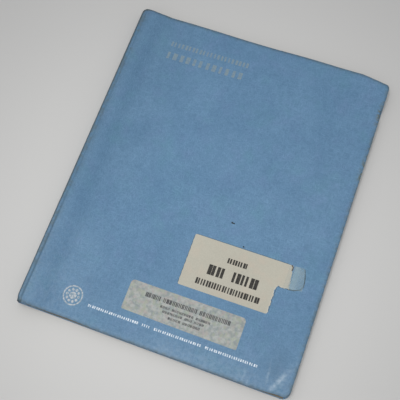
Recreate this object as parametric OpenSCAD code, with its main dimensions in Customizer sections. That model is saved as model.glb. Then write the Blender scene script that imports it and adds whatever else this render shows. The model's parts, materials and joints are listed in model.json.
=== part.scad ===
// Instruction manual for bench test equipment, closed and lying on its back cover.
// A wrap-around pressboard cover hides a plastic comb that binds letter-size leaves.
// The table is z = 0, +X runs from the spine to the fore-edge and +Y from the tail to the
// head. The origin is the middle of the outline, at the table. The outlines are drawn
// from the spine's outer face and the tail, and centred() moves them to the origin.

/* [Cover] */
// Width of the front and back panels, from spine face to fore-edge
cover_w = 228; // [224:0.5:250]
// Height of the cover, from tail to head
cover_h = 280.5; // [279:0.5:300]
// Thickness of the pressboard
board_t = 0.65; // [0.4:0.05:1]
// Radius of the four fore-edge corners
corner_r = 6.5; // [2:0.5:14]
// Width of the scored line at each crease
score_gap = 0.12; // [0.05:0.01:0.25]
// Where the top crease sits on the rounded shoulder, in degrees above the fore-edge side
crease_angle = 105; // [95:1:125]

/* [Leaves] */
// Width of a leaf
leaf_w = 215.9; // [205:0.1:216]
// How far the cover overhangs the leaves at the head and at the tail
overhang = 0.55; // [0.3:0.05:1.5]
// Thickness of the heavy end board
end_board_t = 0.5; // [0.3:0.05:0.7]
// Thickness of the parts list section
parts_list_t = 1.3; // [0.8:0.05:1.5]
// Thickness of the maintenance section
maintenance_t = 0.85; // [0.5:0.05:1]
// Thickness of one heavy fold-out sheet
sheet_t = 0.15; // [0.1:0.01:0.2]
// Thickness of the circuit description section
circuit_t = 0.8; // [0.5:0.05:0.9]
// Thickness of the operating section
operating_t = 0.8; // [0.5:0.05:0.9]
// Thickness of the contents section
contents_t = 0.4; // [0.3:0.05:0.5]
// Thickness of the title leaf and of the flyleaf
flyleaf_t = 0.15; // [0.1:0.01:0.2]
// Air between leaves that turn apart
leaf_gap = 0.12; // [0.08:0.01:0.15]
// Width of the folded panel on the fold-out sheet
fold_w = 92; // [70:1:98]
// Leaf edge to the middle of its punched slots, seen from the binding side
slot_inset = 4.5; // [4:0.1:4.8]
// Depth of a punched slot
slot_depth = 3; // [2.6:0.1:3.2]
// Length of a punched slot
slot_length = 8; // [7.2:0.1:9]

/* [Comb] */
// Outer radius of the comb's spine strip
strip_r = 6.35; // [6.25:0.05:6.6]
// Thickness of the comb plastic
comb_t = 0.55; // [0.4:0.05:0.6]
// Distance from one finger to the next
finger_pitch = 14.29; // [13:0.01:16]
// Width of one finger
finger_w = 5.6; // [4:0.1:6.4]
// Clearance between a finger and the strip it tucks into
tuck_gap = 0.05; // [0.03:0.01:0.08]
// Least distance from the end of the leaf to the middle of the first finger
finger_margin = 8; // [6:0.5:20]

/* [Shape] */
// Clearance between the comb strip and the cover around it
comb_clearance = 0.12; // [0.1:0.01:0.3]
// Where the front cover starts to fall from the crest to the leaves
cover_ramp_start = 8.5; // [8:0.25:9]
// Where the leaves start to fall from the comb to the back cover
leaf_ramp_start = 14.5; // [14:0.25:15]
// Where both have come down flat
ramp_end = 30; // [29:0.25:31]

/* [Front labels] */
// Thickness of the stamped foil
foil_t = 0.02; // [0.01:0.01:0.04]
// Thickness of paper and metallised labels
label_t = 0.1; // [0.06:0.01:0.15]
// Thickness of the clear tape
tape_t = 0.06; // [0.04:0.01:0.1]
// Spine face to the left edge of the type label
type_label_x = 117; // [112:0.5:122]
// Cover tail to the lower edge of the type label
type_label_y = 56.5; // [52:0.5:62]
// Type label's width without its torn arm
type_label_w = 74.5; // [65:0.5:78]
// Type label's full height
type_label_h = 43.5; // [38:0.5:46]
// Width of the arm that is left at the label's upper right
arm_w = 9.5; // [6:0.5:12]
// Height of that arm
arm_h = 19.5; // [14:0.5:22]
// Width of the clear tape patch
tape_w = 14; // [12:0.5:16]
// Height of the clear tape patch
tape_h = 19.5; // [16:0.5:24]
// How far the tape laps over the label's arm
tape_lap = 4; // [2:0.5:5]
// Spine face to the left edge of the property sticker
sticker_x = 82; // [70:0.5:84]
// Cover tail to the lower edge of the property sticker
sticker_y = 22.5; // [20:0.5:25]
// Width of the property sticker
sticker_w = 96.5; // [85:0.5:100]
// Height of the property sticker
sticker_h = 25.5; // [18:0.5:28]
// Corner radius of the property sticker
sticker_r = 2.5; // [1:0.5:4]

/* [Front foil] */
// Spine face to the start of the heading
heading_x = 36; // [32:0.5:40]
// Cover head down to the foot of the heading's upper line
upper_line_y = 26.5; // [22:0.5:30]
// Length of the upper line
upper_line_w = 73; // [60:0.5:80]
// Height of the upper line
upper_line_h = 4.5; // [3:0.25:5.5]
// Cover head down to the foot of the heading's lower line
lower_line_y = 39; // [36.5:0.5:44]
// Length of the lower line
lower_line_w = 72.5; // [60:0.5:80]
// Height of the lower line
lower_line_h = 6.5; // [5:0.25:7.5]
// Spine face to the start of the footer
footer_x = 56.5; // [52:0.5:60]
// Cover tail to the foot of the footer line
footer_y = 15.25; // [12:0.25:17]
// Length of the footer line
footer_w = 142; // [120:0.5:160]
// Height of the footer line
footer_h = 2; // [1.5:0.25:3.5]
// Gap between the foil blocks of a line
block_gap = 2.75; // [1.5:0.25:3.5]
// Spine face to the middle of the ornament
ornament_x = 42; // [38:0.5:43]
// Cover tail to the middle of the ornament
ornament_y = 19.5; // [16:0.5:22]
// Outer radius of the ornament's ring
ornament_r = 8.25; // [5:0.25:9]
// Width of the ornament's ring
ornament_line = 1.4; // [0.8:0.1:2]
// Radius of the disc in the ornament
ornament_disc_r = 3; // [1.5:0.25:3]

/* [Hidden] */

$fn = 96;
pressboard = "#6890ad";
paper = "#ece7d8";
foil = "#b9bcbc";
cut = 1;

// Comb: the fingers curl inside the strip, so the strip has the larger radius.
finger_outer = strip_r - comb_t - tuck_gap;
finger_inner = finger_outer - comb_t;
shoulder_inner = strip_r + comb_clearance;
shoulder_outer = shoulder_inner + board_t;
comb_x = shoulder_outer;
comb_z = shoulder_outer;
leaf_h = cover_h - 2 * overhang;
finger_count = floor((leaf_h - 2 * finger_margin) / finger_pitch) + 1;
first_finger = (cover_h - (finger_count - 1) * finger_pitch) / 2;

// The strip lies low on the spine side, clear of the leaves that turn over to the left.
strip_from = 210;
strip_to = 318;
finger_tip = 292;
root_angle = 7;
// The bridge from a finger to the strip stops a little inside both.
root_inset = comb_t / 4;
root_margin = 1;

// Heights in the stack, measured from the end board's underside.
parts_z = end_board_t;
maintenance_z = parts_z + parts_list_t + leaf_gap;
foldout_z = maintenance_z + maintenance_t + leaf_gap;
panel_z = foldout_z + sheet_t + leaf_gap;
circuit_z = panel_z + sheet_t + leaf_gap;
operating_z = circuit_z + circuit_t + leaf_gap;
contents_z = operating_z + operating_t + leaf_gap;
title_z = contents_z + contents_t;
flyleaf_z = title_z + flyleaf_t + leaf_gap;
stack_top = flyleaf_z + flyleaf_t;

// The stack is centred in the comb at the margin and lies on the back cover beyond it.
// The slots take the comb's fingers at the top, the middle and the bottom of the stack.
margin_z = comb_z - stack_top / 2;
fore_z = board_t;
finger_near = sqrt(pow(finger_inner, 2) - pow(stack_top / 2, 2));
slot_x = comb_x + (finger_near + finger_outer) / 2;
leaf_x = slot_x - slot_inset;
leaf_y = overhang;
cover_under = fore_z + stack_top + leaf_gap;
cover_top = cover_under + board_t;
crest_under = comb_z + shoulder_inner;

// Share of the fall that is done at x: 0 at the start, 1 at the end.
function fall(x, start) =
    let (u = min(1, max(0, (x - start) / (ramp_end - start)))) (1 - cos(180 * u)) / 2;

// Height of the stack's underside at x.
function stack_base(x) = margin_z + (fore_z - margin_z) * fall(x, leaf_ramp_start);

// Height of the front cover's underside at x, right of the crest.
function cover_base(x) = crest_under + (cover_under - crest_under) * fall(x, cover_ramp_start);

// The x values that a falling outline needs.
ramp_steps = 8;
function ramp_xs(start) = [for (i = [0 : ramp_steps]) start + (ramp_end - start) * i / ramp_steps];

// Moves a piece drawn from the spine face and the tail to the origin.
module centred() {
    translate([-cover_w / 2, -cover_h / 2, 0]) children();
}

// A solid of constant y section: the outline is given as x and z.
module along_y(y, length) {
    translate([0, y + length, 0]) rotate([90, 0, 0]) linear_extrude(length) children();
}

// Part of a tube around the comb's axis, between two angles.
module tube_sector(inner, outer, from, to, y, length) {
    translate([comb_x, y + length, comb_z]) rotate([90, 0, 0])
        rotate([0, 0, from]) rotate_extrude(angle = to - from)
            translate([inner, 0]) square([outer - inner, length]);
}

// Outline of the shoulder between two angles, drawn around the comb's axis.
module shoulder_outline(from, to) {
    reach = 2 * shoulder_outer;
    middle = (from + to) / 2;
    intersection() {
        difference() {
            circle(shoulder_outer);
            circle(shoulder_inner);
        }
        polygon([[0, 0], reach * [cos(from), sin(from)],
            reach * [cos(middle), sin(middle)], reach * [cos(to), sin(to)]]);
    }
}

// Outline of a cover panel with rounded corners at the fore-edge.
module panel_outline(from_x, width, height, radius) {
    translate([from_x, 0]) square([width - from_x - radius, height]);
    translate([from_x, radius]) square([width - from_x, height - 2 * radius]);
    for (y = [radius, height - radius]) translate([width - radius, y]) circle(radius);
}

// The row of slots that the comb's fingers pass through.
module slot_row() {
    for (i = [0 : finger_count - 1])
        translate([slot_x - slot_depth / 2,
                   first_finger + i * finger_pitch - slot_length / 2, 0])
            cube([slot_depth, slot_length, 2 * comb_z]);
}

// Leaves or board bound by the comb: low and high are heights in the stack.
module bound_stack(low, thick) {
    xs = concat([leaf_x], ramp_xs(leaf_ramp_start), [leaf_x + leaf_w]);
    last = len(xs) - 1;
    difference() {
        along_y(leaf_y, leaf_h) polygon(concat(
            [for (x = xs) [x, stack_base(x) + low]],
            [for (i = [last : -1 : 0]) [xs[i], stack_base(xs[i]) + low + thick]]));
        slot_row();
    }
}

// A thin piece that lies on the flat of the front cover.
module on_cover(thick, lift = 0) {
    translate([0, 0, cover_top + lift]) linear_extrude(thick) children();
}

// Start of block i in a row: the widths and gaps of the blocks before it.
function total(values, i = 0) = i == len(values) ? 0 : values[i] + total(values, i + 1);

function row_start(widths, i) = i == 0 ? 0 : row_start(widths, i - 1) + widths[i - 1] + block_gap;

// A row of foil blocks that share out its length.
module foil_row(x, y, length, shares, height) {
    unit = (length - (len(shares) - 1) * block_gap) / total(shares);
    widths = shares * unit;
    for (i = [0 : len(widths) - 1])
        translate([x + row_start(widths, i), y]) square([widths[i], height]);
}

module back_cover() {
    color(pressboard) centred() difference() {
        linear_extrude(board_t) panel_outline(0, cover_w, cover_h, corner_r);
        along_y(-cut, cover_h + 2 * cut) polygon([
            [-cut, -cut], [-cut + score_gap, -cut],
            [board_t + cut + score_gap, board_t + cut], [-cut, board_t + cut]]);
    }
}

// Straight wall up from the back cover, then the rounded shoulder over the comb.
module spine_cover() {
    color(pressboard) centred() along_y(0, cover_h) translate([comb_x, comb_z]) {
        polygon([
            [-shoulder_outer, score_gap - comb_z],
            [-shoulder_inner, score_gap + board_t - comb_z],
            [-shoulder_inner, 0],
            [-shoulder_outer, 0]]);
        shoulder_outline(crease_angle, 180);
    }
}

// Shoulder from the crease to the crest, then down over the leaves to the fore-edge.
module front_cover() {
    gap_angle = score_gap / shoulder_outer * 180 / PI;
    xs = concat([comb_x], ramp_xs(cover_ramp_start), [cover_w]);
    last = len(xs) - 1;
    color(pressboard) centred() intersection() {
        along_y(0, cover_h) {
            polygon(concat(
                [for (x = xs) [x, cover_base(x)]],
                [for (i = [last : -1 : 0]) [xs[i], cover_base(xs[i]) + board_t]]));
            translate([comb_x, comb_z]) shoulder_outline(90, crease_angle - gap_angle);
        }
        linear_extrude(2 * crest_under) panel_outline(0, cover_w, cover_h, corner_r);
    }
}

// Heavy punched board, glued to the back cover, that carries the comb.
module end_board() {
    color("#c9c2ae") centred() bound_stack(0, end_board_t);
}

// One plastic strip with a curled finger for every slot.
module binding_comb() {
    strip_y = first_finger - finger_margin;
    strip_length = (finger_count - 1) * finger_pitch + 2 * finger_margin;
    color("#26282b") centred() {
        tube_sector(strip_r - comb_t, strip_r, strip_from, strip_to, strip_y, strip_length);
        for (i = [0 : finger_count - 1]) {
            y = first_finger + i * finger_pitch - finger_w / 2;
            tube_sector(finger_inner, finger_outer, finger_tip - 360, strip_from + root_angle,
                y, finger_w);
            tube_sector(finger_inner + root_inset, strip_r - root_inset,
                strip_from + root_margin, strip_from + root_angle - root_margin, y, finger_w);
        }
    }
}

module parts_list_leaves() {
    color(paper) centred() bound_stack(parts_z, parts_list_t);
}

module maintenance_leaves() {
    color(paper) centred() bound_stack(maintenance_z, maintenance_t);
}

module foldout_leaf() {
    color("#f3efe2") centred() bound_stack(foldout_z, sheet_t);
}

// Panel folded back over the fold-out leaf, hinged at the fore-edge fold.
module foldout_panel() {
    color("#f3efe2") centred() translate([leaf_x + leaf_w - fold_w, leaf_y, fore_z + panel_z])
        cube([fold_w, leaf_h, sheet_t]);
}

module circuit_leaves() {
    color(paper) centred() bound_stack(circuit_z, circuit_t);
}

module operating_leaves() {
    color(paper) centred() bound_stack(operating_z, operating_t);
}

module contents_leaves() {
    color(paper) centred() bound_stack(contents_z, contents_t);
}

module title_leaf() {
    color(paper) centred() bound_stack(title_z, flyleaf_t);
}

module flyleaf() {
    color("#e6dfca") centred() bound_stack(flyleaf_z, flyleaf_t);
}

// Paper label with its lower right corner torn away, which leaves an arm.
module type_label() {
    arm_low = type_label_h - arm_h;
    color("#cfcbb9") centred() on_cover(label_t) translate([type_label_x, type_label_y])
        polygon([
            [0, 0], [type_label_w, 0], [type_label_w, arm_low],
            [type_label_w + arm_w, arm_low],
            [type_label_w + arm_w, type_label_h], [0, type_label_h]]);
}

// Clear tape over the end of the label's arm, stepped down to the cover.
module label_tape() {
    arm_end = type_label_x + type_label_w + arm_w;
    tape_x = arm_end - tape_lap;
    tape_y = type_label_y + type_label_h - arm_h / 2 - tape_h / 2;
    color("#8fb0bd", 0.6) centred() {
        on_cover(tape_t, label_t) translate([tape_x, tape_y]) square([tape_w, tape_h]);
        on_cover(label_t) translate([arm_end, tape_y]) square([tape_w - tape_lap, tape_h]);
    }
}

module property_sticker() {
    color("#a9afae") centred() on_cover(label_t) translate([sticker_x, sticker_y]) {
        translate([sticker_r, 0]) square([sticker_w - 2 * sticker_r, sticker_h]);
        translate([0, sticker_r]) square([sticker_w, sticker_h - 2 * sticker_r]);
        for (x = [sticker_r, sticker_w - sticker_r], y = [sticker_r, sticker_h - sticker_r])
            translate([x, y]) circle(sticker_r);
    }
}

module heading_foil_upper() {
    color(foil) centred() on_cover(foil_t)
        foil_row(heading_x, cover_h - upper_line_y, upper_line_w, [1], upper_line_h);
}

module heading_foil_lower() {
    color(foil) centred() on_cover(foil_t)
        foil_row(heading_x, cover_h - lower_line_y, lower_line_w, [1], lower_line_h);
}

module footer_foil() {
    color("white") centred() on_cover(foil_t)
        foil_row(footer_x, footer_y, footer_w, [12, 2, 11, 12], footer_h);
}

// Ring with a disc in it.
module ornament_foil() {
    color("white") centred() on_cover(foil_t) translate([ornament_x, ornament_y]) {
        difference() {
            circle(ornament_r);
            circle(ornament_r - ornament_line);
        }
        circle(ornament_disc_r);
    }
}

back_cover();
spine_cover();
front_cover();
end_board();
binding_comb();
parts_list_leaves();
maintenance_leaves();
foldout_leaf();
foldout_panel();
circuit_leaves();
operating_leaves();
contents_leaves();
title_leaf();
flyleaf();
type_label();
label_tape();
property_sticker();
heading_foil_upper();
heading_foil_lower();
footer_foil();
ornament_foil();
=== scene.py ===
import json
import math
import random

import bmesh
import bpy
from mathutils import Matrix, Vector


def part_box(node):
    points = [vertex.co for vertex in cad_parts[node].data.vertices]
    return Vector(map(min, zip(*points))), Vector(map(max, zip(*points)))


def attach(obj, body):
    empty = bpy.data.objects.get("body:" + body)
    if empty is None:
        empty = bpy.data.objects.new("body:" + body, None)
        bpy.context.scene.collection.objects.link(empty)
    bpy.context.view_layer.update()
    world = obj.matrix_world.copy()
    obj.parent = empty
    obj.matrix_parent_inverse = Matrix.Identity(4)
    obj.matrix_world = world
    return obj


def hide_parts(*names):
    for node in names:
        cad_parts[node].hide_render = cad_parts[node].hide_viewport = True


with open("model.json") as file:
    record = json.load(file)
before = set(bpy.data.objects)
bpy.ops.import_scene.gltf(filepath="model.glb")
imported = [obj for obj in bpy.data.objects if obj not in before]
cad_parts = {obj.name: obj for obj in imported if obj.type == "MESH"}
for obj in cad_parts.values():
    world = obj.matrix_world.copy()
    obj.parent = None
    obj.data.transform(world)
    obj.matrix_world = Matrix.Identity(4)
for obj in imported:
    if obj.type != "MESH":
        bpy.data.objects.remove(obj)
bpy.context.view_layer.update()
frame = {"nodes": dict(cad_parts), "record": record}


# --------------------------------------------------
# Back cover. One blue pressboard sheet wraps the whole manual; this is its back
# panel, die-cut with round fore-edge corners, and it carries everything else.
mm = 0.001
board_thickness = 0.65 * mm
score_gap = 0.12 * mm
board_blue_dark = (0.106, 0.223, 0.368, 1)
board_blue_light = (0.126, 0.252, 0.403, 1)
board_violet = (0.130, 0.225, 0.395, 1)
board_teal = (0.106, 0.255, 0.360, 1)
# Pale board colour for scuffs and for painted highlights.
board_scuff_and_highlight = (0.355, 0.475, 0.600, 1)
# Dark board colour, used for dirt and for painted shade.
board_dirt_and_shade = (0.040, 0.068, 0.072, 1)
board_stain = (0.135, 0.150, 0.110, 1)
# Share of the dark colour mixed into every cut edge: painted shade along the board's outline.
raw_edge_painted_shade = 0.45
# How strongly fibres and patches show in red, green and blue.
board_flecks = (1.30, 1.0, 0.90)


def new_material(name, roughness, specular=0.5, metallic=0.0):
    material = bpy.data.materials.new(name)
    material.use_nodes = True
    shader = material.node_tree.nodes["Principled BSDF"]
    for socket, value in (("Roughness", roughness), ("Specular IOR Level", specular),
                          ("Metallic", metallic)):
        shader.inputs[socket].default_value = value
    return material, material.node_tree, shader


def add_node(tree, kind, links=(), **values):
    made = tree.nodes.new(kind)
    for key, value in values.items():
        if hasattr(made, key):
            setattr(made, key, value)
        else:
            made.inputs[key.replace("_", " ")].default_value = value
    for socket, source in links:
        tree.links.new(source, made.inputs[socket])
    return made


def painted(tree, layer):
    """Reads one of the piece's own layers, such as its wear."""
    return add_node(tree, "ShaderNodeAttribute", attribute_name=layer).outputs["Fac"]


def object_noise(tree, scale, detail=3.0, stretch=(1, 1, 1), turn=0.0):
    place = add_node(tree, "ShaderNodeTexCoord").outputs["Object"]
    mapping = add_node(tree, "ShaderNodeMapping", [("Vector", place)], Scale=stretch,
                       Rotation=(0, 0, turn))
    return add_node(tree, "ShaderNodeTexNoise", [("Vector", mapping.outputs[0])], Scale=scale,
                    Detail=detail).outputs["Fac"]


def spread(tree, value, low, high, to_low=0.0, to_high=1.0):
    """Stretches the part of a value from low to high over another range."""
    return add_node(tree, "ShaderNodeMapRange", [("Value", value)], From_Min=low, From_Max=high,
                    To_Min=to_low, To_Max=to_high).outputs[0]


def mix_colour(tree, factor, first, second, blend="MIX"):
    mixed = add_node(tree, "ShaderNodeMix", data_type="RGBA", blend_type=blend)
    for socket, source in ((0, factor), (6, first), (7, second)):
        if isinstance(source, (tuple, float)):
            mixed.inputs[socket].default_value = source
        else:
            tree.links.new(source, mixed.inputs[socket])
    return mixed.outputs[2]


def calculate(tree, operation, first, second):
    result = add_node(tree, "ShaderNodeMath", [(0, first)], operation=operation)
    if isinstance(second, float):
        result.inputs[1].default_value = second
    else:
        tree.links.new(second, result.inputs[1])
    return result.outputs[0]


def bump(tree, shader, height, depth, strength):
    made = add_node(tree, "ShaderNodeBump", [("Height", height)], Distance=depth,
                    Strength=strength)
    tree.links.new(made.outputs[0], shader.inputs["Normal"])


def pressboard_material(name, raw=False):
    material, tree, shader = new_material(name, 0.62, 0.32)
    clouds = spread(tree, object_noise(tree, 34, 4), 0.32, 0.68)
    colour = mix_colour(tree, clouds, board_blue_dark, board_blue_light)
    violet = spread(tree, object_noise(tree, 75, 2, turn=0.7), 0.52, 0.72, 0, 0.35)
    colour = mix_colour(tree, violet, colour, board_violet)
    teal = spread(tree, object_noise(tree, 62, 2, turn=2.1), 0.54, 0.74, 0, 0.4)
    colour = mix_colour(tree, teal, colour, board_teal)
    along = object_noise(tree, 1500, 4, (1, 0.22, 1), 0.35)
    across = object_noise(tree, 1500, 4, (0.22, 1, 1), -0.25)
    fibres = calculate(tree, "MAXIMUM", along, across)
    mottle = object_noise(tree, 170, 3, turn=0.4)
    shades = []
    for part, reach in enumerate(board_flecks):
        flecks = spread(tree, fibres, 0.42, 0.72, 1 - 0.14 * reach, 1 + 0.15 * reach)
        patches = spread(tree, mottle, 0.35, 0.65, 1 - 0.035 * reach, 1 + 0.035 * reach)
        shades.append((part, calculate(tree, "MULTIPLY", flecks, patches)))
    shade = add_node(tree, "ShaderNodeCombineColor", shades)
    colour = mix_colour(tree, 1.0, colour, shade.outputs[0], "MULTIPLY")
    # This layer lightens worn spots; on the front cover it also paints highlights at the fold and
    # crease.
    wear_and_highlight = painted(tree, "wear_and_highlight")
    patchy = spread(tree, object_noise(tree, 420, 5), 0.36, 0.62, 0.35, 1)
    colour = mix_colour(tree, calculate(tree, "MULTIPLY", wear_and_highlight, patchy), colour, board_scuff_and_highlight)
    stain = painted(tree, "stain")
    spots = spread(tree, object_noise(tree, 260, 4, turn=1.7), 0.44, 0.58)
    colour = mix_colour(tree, calculate(tree, "MULTIPLY", stain, spots), colour, board_stain)
    # This layer darkens the board with dirt and with painted shade at edges, creases and the
    # spine's wall.
    dirt_and_shade = painted(tree, "dirt_and_shade")
    colour = mix_colour(tree, dirt_and_shade, colour, board_dirt_and_shade)
    # Cut edges are mixed darker still: painted shade.
    if raw:
        colour = mix_colour(tree, raw_edge_painted_shade, colour, board_dirt_and_shade)
    tree.links.new(colour, shader.inputs["Base Color"])
    bump(tree, shader, fibres, 0.10 * mm, 0.55)
    return material


pressboard = pressboard_material("pressboard")
pressboard_edge = pressboard_material("pressboard_cut_edge", raw=True)


cover_low, cover_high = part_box("front_cover")
spine_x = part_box("spine_cover")[0][0]
cover_length = cover_high[1] - cover_low[1]
tail, head = cover_low[1], cover_high[1]
fore_edge = cover_high[0]
corner_radius = 6.5 * mm


def even(low, high, steps):
    return [low + (high - low) * i / steps for i in range(steps + 1)]


def graded(low, high, steps):
    """Values from low to high that lie closer together near both ends."""
    return [low + (high - low) * (1 - math.cos(math.pi * i / steps)) / 2 for i in range(steps + 1)]


def faces_round(verts):
    """The faces that touch the given points, each once and in a fixed order."""
    return list(dict.fromkeys(face for vert in verts for face in vert.link_faces))


def lined_grid(mesh, xs, ys):
    """A flat grid whose lines run at the given x and y values."""
    grid = bmesh.ops.create_grid(mesh, x_segments=len(xs) - 1, y_segments=len(ys) - 1, size=1)
    for vert in grid["verts"]:
        vert.co.x = xs[round((vert.co.x + 1) / 2 * (len(xs) - 1))]
        vert.co.y = ys[round((vert.co.y + 1) / 2 * (len(ys) - 1))]
    return grid["verts"]


def solid_board(mesh, outer_at, inner_at, xs, ys):
    """A board between two surfaces, both given for a length along the board and y."""
    verts = lined_grid(mesh, xs, ys)
    lines = {vert: (vert.co.x, vert.co.y) for vert in verts}
    faces = faces_round(verts)
    inner = bmesh.ops.extrude_face_region(mesh, geom=faces)
    under = [item for item in inner["geom"] if isinstance(item, bmesh.types.BMVert)]
    for vert in under:
        vert.co = inner_at(vert.co.x, vert.co.y)
    for vert, (along, y) in lines.items():
        vert.co = outer_at(along, y)
    caps = set(faces) | {item for item in inner["geom"] if isinstance(item, bmesh.types.BMFace)}
    for face in mesh.faces:
        face.material_index = 0 if face in caps else 1
        face.smooth = face in caps


def as_data(mesh, name, materials):
    data = bpy.data.meshes.new(name)
    mesh.to_mesh(data)
    mesh.free()
    for material in materials:
        data.materials.append(material)
    return data


def placed(name, data):
    thing = bpy.data.objects.new(name, data)
    bpy.context.scene.collection.objects.link(thing)
    return thing


def finished(mesh, name, materials, body):
    bmesh.ops.recalc_face_normals(mesh, faces=mesh.faces)
    piece = placed(name, as_data(mesh, name, materials))
    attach(piece, body)
    return piece


def set_values(piece, name, value_at):
    """Paints a layer onto the piece, from 0 to 1."""
    layer = piece.data.attributes.new(name, "FLOAT", "POINT")
    for i, vert in enumerate(piece.data.vertices):
        layer.data[i].value = min(1, max(0, value_at(vert.co)))


def near(distance, reach):
    """1 at no distance, falling to 0 at the reach."""
    return max(0, 1 - abs(distance) / reach) ** 1.5


def round_in(x):
    """How far the rounded corners draw the head and the tail in at x."""
    over = min(corner_radius, max(0, x - (fore_edge - corner_radius)))
    return corner_radius - math.sqrt(corner_radius ** 2 - over ** 2)


def drawn_in(x, y):
    return y + (1 - 2 * (y - tail) / cover_length) * round_in(x)


def back_outer(x, y):
    return Vector((x, drawn_in(x, y), 0))


def back_inner(x, y):
    x = max(x, spine_x + score_gap + board_thickness)
    return Vector((x, drawn_in(x, y), board_thickness))


rim = 12 * mm
mesh = bmesh.new()
back_xs = even(spine_x + score_gap, fore_edge - rim, 60)[:-1]
back_xs += graded(fore_edge - rim, fore_edge, 12)
solid_board(mesh, back_outer, back_inner, back_xs, even(tail, head, 90))
back = finished(mesh, "back_board", [pressboard, pressboard_edge], "back")
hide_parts("back_cover")
set_values(back, "wear_and_highlight", lambda p: 0.35 * sum(
    near(gap, 4 * mm) for gap in (p.x - spine_x, p.y - tail, head - p.y, fore_edge - p.x)))
# Darkened along the fore-edge.
set_values(back, "dirt_and_shade", lambda p: 0.3 * near(fore_edge - p.x, 1.5 * mm))
set_values(back, "stain", lambda p: 0.5 * near(fore_edge - p.x, 3 * mm))


# --------------------------------------------------
# End board. A heavy punched sheet of grey board is glued inside the back panel
# and is what the comb really grips, so that the outside stays plain.
def dress(node_name, material):
    slots = frame["nodes"][node_name].data.materials
    slots.clear()
    slots.append(material)


def paper_material(name, light, dark, grain=0.5):
    material, tree, shader = new_material(name, 0.78, 0.2)
    clouds = spread(tree, object_noise(tree, 18, 4), 0.3, 0.7)
    colour = mix_colour(tree, clouds, dark, light)
    pulp = object_noise(tree, 1300, 4)
    speck = spread(tree, pulp, 0.35, 0.7, 1 - 0.16 * grain, 1 + 0.10 * grain)
    shade = add_node(tree, "ShaderNodeCombineColor", [(0, speck), (1, speck), (2, speck)])
    colour = mix_colour(tree, 1.0, colour, shade.outputs[0], "MULTIPLY")
    tree.links.new(colour, shader.inputs["Base Color"])
    bump(tree, shader, pulp, 0.06 * mm, 0.4)
    return material, tree, shader, colour


dress("end_board", paper_material(
    "end_board", (0.27, 0.245, 0.195, 1), (0.20, 0.185, 0.15, 1), 1.0)[0])


# --------------------------------------------------
# Binding comb. A strip of black plastic with nineteen fingers, heat-curled so
# that each finger springs back inside the strip after it has passed the leaves.
comb_black, tree, shader = new_material("comb_plastic", 0.34)
streaks = spread(tree, object_noise(tree, 240, 3, (1, 0.15, 1)), 0.3, 0.7)
colour = mix_colour(tree, streaks, (0.016, 0.017, 0.019, 1), (0.032, 0.033, 0.036, 1))
tree.links.new(colour, shader.inputs["Base Color"])
tree.links.new(spread(tree, streaks, 0, 1, 0.28, 0.42), shader.inputs["Roughness"])
bump(tree, shader, object_noise(tree, 900, 2), 0.03 * mm, 0.5)
dress("binding_comb", comb_black)


# --------------------------------------------------
# Leaves. Uncoated letter-size sheets, punched with one slot for each finger.
# They bend down from the comb to the back cover, and no two lie quite square.
joints = {joint["name"]: joint for joint in frame["record"]["behaviour"]["joints"]}
end_board_thickness = 0.5 * mm
ramp_end = 30 * mm
leaf_ramp_start = 14.5 * mm
slot_length = 8 * mm
slot_depth = 3 * mm
finger_pitch = 14.29 * mm
finger_count = 19
leaf_thickness = 0.092 * mm
leaf_pitch = 0.11 * mm

comb_axis = Vector(joints["flyleaf_turn"]["pos_m"])
board_low, board_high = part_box("end_board")
leaf_fall = board_high[2] - board_low[2] - end_board_thickness
slot_middle = board_low[0] + 4.5 * mm


def ease(value, low, high):
    """0 up to low, 1 from high, and smooth between them."""
    share = min(1, max(0, (value - low) / (high - low)))
    return share * share * (3 - 2 * share)


def fall(x, start):
    share = min(1, max(0, (x - spine_x - start) / (ramp_end - start)))
    return (1 - math.cos(math.pi * share)) / 2


def leaf_lines(low, high):
    ramp = even(spine_x + leaf_ramp_start, spine_x + ramp_end, 8)
    flat = even(spine_x + ramp_end, high, 4)[1:]
    return [low, slot_middle - slot_depth / 2, slot_middle + slot_depth / 2] + ramp + flat


def slot_lines(low, high):
    first = -(finger_count - 1) / 2 * finger_pitch
    middles = [first + i * finger_pitch for i in range(finger_count)]
    edges = [middle + side * slot_length / 2 for middle in middles for side in (-1, 1)]
    return [low] + edges + [high]


def knocked_up(x, y):
    """Leaves are drawn in at the head and the tail, most of all beside the fore-edge."""
    thumbed = ease(x, fore_edge - 60 * mm, fore_edge - 6 * mm)
    at_head = (0.6 + 1.3 * thumbed) * ease(y, head - 6 * mm, head - 2 * mm)
    at_tail = (1.2 + 1.8 * thumbed) * (1 - ease(y, tail + 2 * mm, tail + 6 * mm))
    return y + (at_tail - at_head) * mm


def thicken(mesh, faces, thickness):
    """Raises flat faces and closes their sides, so that they become a sheet."""
    top = bmesh.ops.extrude_face_region(mesh, geom=faces)
    raised = [item for item in top["geom"] if isinstance(item, bmesh.types.BMVert)]
    bmesh.ops.translate(mesh, verts=raised, vec=(0, 0, thickness))


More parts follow.
